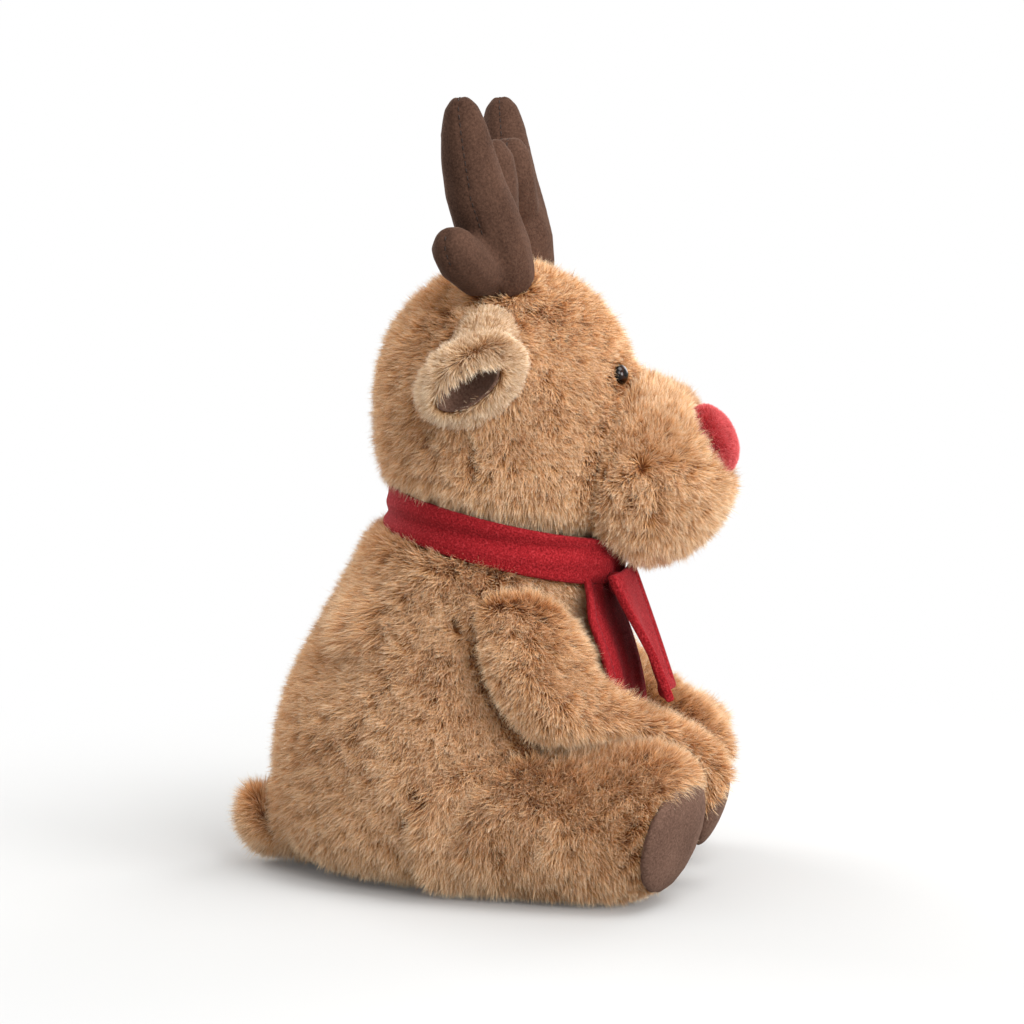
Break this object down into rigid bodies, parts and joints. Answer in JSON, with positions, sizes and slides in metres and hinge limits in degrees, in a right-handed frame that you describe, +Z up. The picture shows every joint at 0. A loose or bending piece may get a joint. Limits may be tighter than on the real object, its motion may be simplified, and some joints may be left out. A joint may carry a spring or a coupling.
{
  "type": "sitting plush deer",
  "caption": "Sitting tan plush deer with suede antlers, suede ear linings and pads, a round red nose and a red fleece scarf whose tails hang in front.",
  "frame": {"origin": "on the floor, under the middle of the bounding box of the seated deer", "axes": "+Z up, the deer faces -Y, and its own right side is -X"},
  "size_m": [0.1544, 0.197, 0.3],
  "materials": {
    "tan_plush": "matte",
    "brown_suede": "matte",
    "red_fleece": "matte",
    "red_nose_plush": "matte",
    "eye_plastic": "gloss",
    "washer_plastic": "matte",
    "pellet_cloth": "matte"
  },
  "bodies": {
    "torso": {"body": "tan_plush", "pellet_bag": "pellet_cloth", "scarf_collar": "red_fleece", "scarf_knot": "red_fleece", "scarf_chest_tail": "red_fleece"},
    "head_and_antlers": {"head": "tan_plush", "muzzle": "tan_plush", "nose": "red_nose_plush", "eye_right": "eye_plastic", "eye_left": "eye_plastic", "eye_washer_right": "washer_plastic", "eye_washer_left": "washer_plastic", "antler_right": "brown_suede", "antler_left": "brown_suede"},
    "right_ear": {"ear_right": "tan_plush", "ear_lining_right": "brown_suede"},
    "left_ear": {"ear_left": "tan_plush", "ear_lining_left": "brown_suede"},
    "right_arm": {"arm_right": "tan_plush", "paw_pad_right": "brown_suede"},
    "left_arm": {"arm_left": "tan_plush", "paw_pad_left": "brown_suede"},
    "right_leg": {"leg_right": "tan_plush", "foot_pad_right": "brown_suede"},
    "left_leg": {"leg_left": "tan_plush", "foot_pad_left": "brown_suede"},
    "tail_tuft": {"tail": "tan_plush"},
    "hanging_scarf_tail": {"scarf_free_tail": "red_fleece"}
  },
  "joints": [
    {"name": "neck_turn", "type": "hinge", "parent": "torso", "child": "head_and_antlers", "pos_m": [0, -0.0055, 0.126], "axis": [0, -0.2113, 0.9774], "range_deg": [-20, 20], "stiffness_Nm_per_rad": 0.3},
    {"name": "ear_lift_right", "type": "hinge", "parent": "head_and_antlers", "child": "right_ear", "pos_m": [-0.038, -0.008, 0.213], "axis": [0, 1, 0], "range_deg": [0, 25], "stiffness_Nm_per_rad": 0.01},
    {"name": "ear_lift_left", "type": "hinge", "parent": "head_and_antlers", "child": "left_ear", "pos_m": [0.038, -0.008, 0.213], "axis": [0, -1, 0], "range_deg": [0, 25], "stiffness_Nm_per_rad": 0.01},
    {"name": "shoulder_right", "type": "hinge", "parent": "torso", "child": "right_arm", "pos_m": [-0.044, -0.017, 0.099], "axis": [-1, 0, 0], "range_deg": [0, 30], "stiffness_Nm_per_rad": 0.05},
    {"name": "shoulder_left", "type": "hinge", "parent": "torso", "child": "left_arm", "pos_m": [0.044, -0.017, 0.099], "axis": [-1, 0, 0], "range_deg": [0, 30], "stiffness_Nm_per_rad": 0.05},
    {"name": "hip_right", "type": "hinge", "parent": "torso", "child": "right_leg", "pos_m": [-0.039, 0.012, 0.029], "axis": [0, 0, -1], "range_deg": [0, 15], "stiffness_Nm_per_rad": 0.1},
    {"name": "hip_left", "type": "hinge", "parent": "torso", "child": "left_leg", "pos_m": [0.039, 0.012, 0.029], "axis": [0, 0, 1], "range_deg": [0, 15], "stiffness_Nm_per_rad": 0.1},
    {"name": "tail_lift", "type": "hinge", "parent": "torso", "child": "tail_tuft", "pos_m": [0, 0.064, 0.0205], "axis": [1, 0, 0], "range_deg": [0, 20], "stiffness_Nm_per_rad": 0.01},
    {"name": "scarf_tail_swing", "type": "hinge", "parent": "torso", "child": "hanging_scarf_tail", "pos_m": [-0.0165, -0.0556, 0.1175], "axis": [-1, 0, 0], "range_deg": [0, 54]}
  ],
  "couplings": [
    {"joint": "scarf_tail_swing", "follows": "shoulder_right", "ratio": 1.8}
  ]
}
